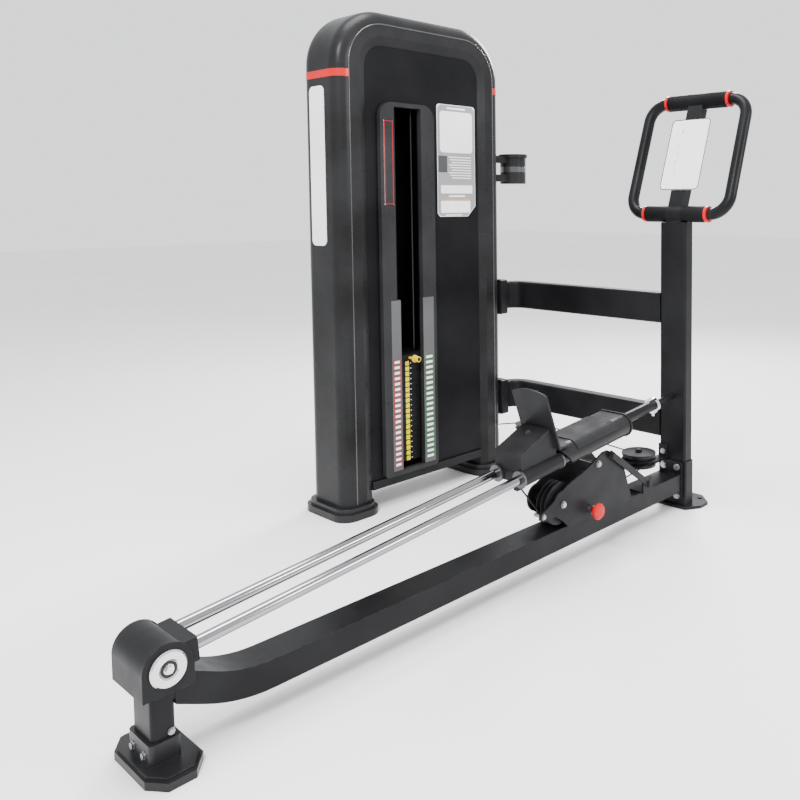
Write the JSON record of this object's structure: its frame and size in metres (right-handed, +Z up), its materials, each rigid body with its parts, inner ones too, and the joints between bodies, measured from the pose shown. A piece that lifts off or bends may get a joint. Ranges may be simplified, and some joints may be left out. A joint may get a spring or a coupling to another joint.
{
  "type": "standing glute press machine",
  "caption": "Standing hip-extension machine: a foot carriage slides on an inclined twin-rod rail and lifts a weight stack by cable; a leaning handle loop tops the column.",
  "frame": {"origin": "on the floor, under the middle of the handle column, at the underside of the column's foot plate", "axes": "+X runs along the floor beam from the front foot to the handle column; +Y runs from the rail to the weight tower; +Z is up"},
  "size_m": [2.0186, 1.1795, 1.7],
  "materials": {
    "black_steel": "fine-textured black powder coat",
    "dark_steel": "satin charcoal powder coat",
    "plate_steel": "black paint with worn edges",
    "chrome": "polished chrome",
    "zinc": "zinc-plated fasteners",
    "black_plastic": "grained black plastic",
    "grey_plastic": "grey plastic",
    "pulley_plastic": "black nylon",
    "rubber": "ribbed black rubber",
    "cable": "black coated steel cable",
    "red": "red plastic",
    "green": "green and white marks",
    "white": "pale printed plate",
    "yellow": "yellow and black pin knob"
  },
  "bodies": {
    "frame": {"main_beam": "black_steel", "front_leg": "black_steel", "front_foot": "black_plastic", "column": "black_steel", "column_foot": "dark_steel", "frame_bolts": "zinc", "cross_tubes": "black_steel", "cross_sockets": "dark_steel", "hub_plates": "dark_steel", "hub_cover": "dark_steel", "hub_axle": "zinc", "hub_caps": "chrome", "rail_block": "dark_steel", "rail_rods": "chrome", "rear_end_plate": "black_plastic", "rail_strut": "black_steel", "strut_collar": "chrome", "side_plates": "dark_steel", "pulley_base": "black_steel", "pulley_fixings": "zinc", "brace_bar": "dark_steel", "brace_bracket": "dark_steel", "column_pulley_bracket": "black_steel", "idler_bracket": "black_steel", "tower_hoop": "black_plastic", "tower_feet": "black_plastic", "tower_bars": "black_steel", "front_cover": "black_plastic", "rear_cover": "black_plastic", "stack_bezel": "black_plastic", "value_bands": "grey_plastic", "red_marks": "red", "green_marks": "green", "white_plates": "white", "accent_rings": "red", "guide_rods": "chrome", "weight_plates": "plate_steel", "top_pulley_axles": "zinc", "cup_holder": "black_plastic", "cable_run": "cable", "handle_loop": "black_steel", "handle_stem": "dark_steel", "handle_grips": "rubber"},
    "carriage": {"bearing_tubes": "dark_steel", "bearing_rings": "chrome", "rod_sleeves": "rubber", "foot_plate": "dark_steel", "foot_bed": "black_plastic", "bed_mat": "rubber", "carriage_cable": "cable"},
    "head": {"head_plate": "plate_steel", "stack_cable": "cable"},
    "selector": {"selector_pin": "yellow"},
    "lock": {"lock_knob": "red"},
    "big_wheel": {"big_pulley": "pulley_plastic"},
    "column_wheel": {"column_pulley": "pulley_plastic"},
    "idler_wheel": {"idler_pulley": "pulley_plastic"},
    "base_wheel": {"base_pulley": "pulley_plastic"},
    "left_wheel": {"left_pulley": "pulley_plastic"},
    "right_wheel": {"right_pulley": "pulley_plastic"}
  },
  "joints": [
    {"name": "carriage_slide", "type": "slide", "parent": "frame", "child": "carriage", "axis": [-0.9954, 0, -0.0958], "range_m": [0, 0.8], "deforming": ["carriage_cable"]},
    {"name": "stack_lift", "type": "slide", "parent": "frame", "child": "head", "axis": [0, 0, 1], "range_m": [0, 0.733], "deforming": ["stack_cable"]},
    {"name": "selector_pull", "type": "slide", "parent": "head", "child": "selector", "axis": [0, -1, 0], "range_m": [0, 0.1]},
    {"name": "lock_pull", "type": "slide", "parent": "frame", "child": "lock", "axis": [0, -1, 0], "range_m": [0, 0.012], "stiffness_N_per_m": 800, "springref_m": -0.004},
    {"name": "big_wheel_spin", "type": "hinge", "parent": "frame", "child": "big_wheel", "pos_m": [-0.667, -0.02, 0.194], "axis": [0, 1, 0], "range_deg": [0, 778]},
    {"name": "column_wheel_spin", "type": "hinge", "parent": "frame", "child": "column_wheel", "pos_m": [-0.172, 0.036, 0.195], "axis": [0, 0, 1], "range_deg": [-875, 0]},
    {"name": "idler_wheel_spin", "type": "hinge", "parent": "frame", "child": "idler_wheel", "pos_m": [-0.04, 0.66, 0.173], "axis": [0, 0, 1], "range_deg": [-875, 0]},
    {"name": "base_wheel_spin", "type": "hinge", "parent": "frame", "child": "base_wheel", "pos_m": [-0.17616, 0.81394, 0.201], "axis": [0.5736, 0.8192, 0], "range_deg": [-1499, 0]},
    {"name": "left_wheel_spin", "type": "hinge", "parent": "frame", "child": "left_wheel", "pos_m": [-0.516, 0.83, 1.632], "axis": [0, 1, 0], "range_deg": [0, 1235]},
    {"name": "right_wheel_spin", "type": "hinge", "parent": "frame", "child": "right_wheel", "pos_m": [-0.2331, 0.83, 1.632], "axis": [0, 1, 0], "range_deg": [0, 1235]}
  ],
  "couplings": [
    {"joint": "stack_lift", "follows": "carriage_slide", "ratio": 0.915},
    {"joint": "big_wheel_spin", "follows": "carriage_slide", "rad_per_m": 16.944},
    {"joint": "column_wheel_spin", "follows": "carriage_slide", "rad_per_m": -19.062},
    {"joint": "idler_wheel_spin", "follows": "carriage_slide", "rad_per_m": -19.062},
    {"joint": "base_wheel_spin", "follows": "carriage_slide", "rad_per_m": -32.679},
    {"joint": "left_wheel_spin", "follows": "carriage_slide", "rad_per_m": 26.912},
    {"joint": "right_wheel_spin", "follows": "carriage_slide", "rad_per_m": 26.912}
  ]
}
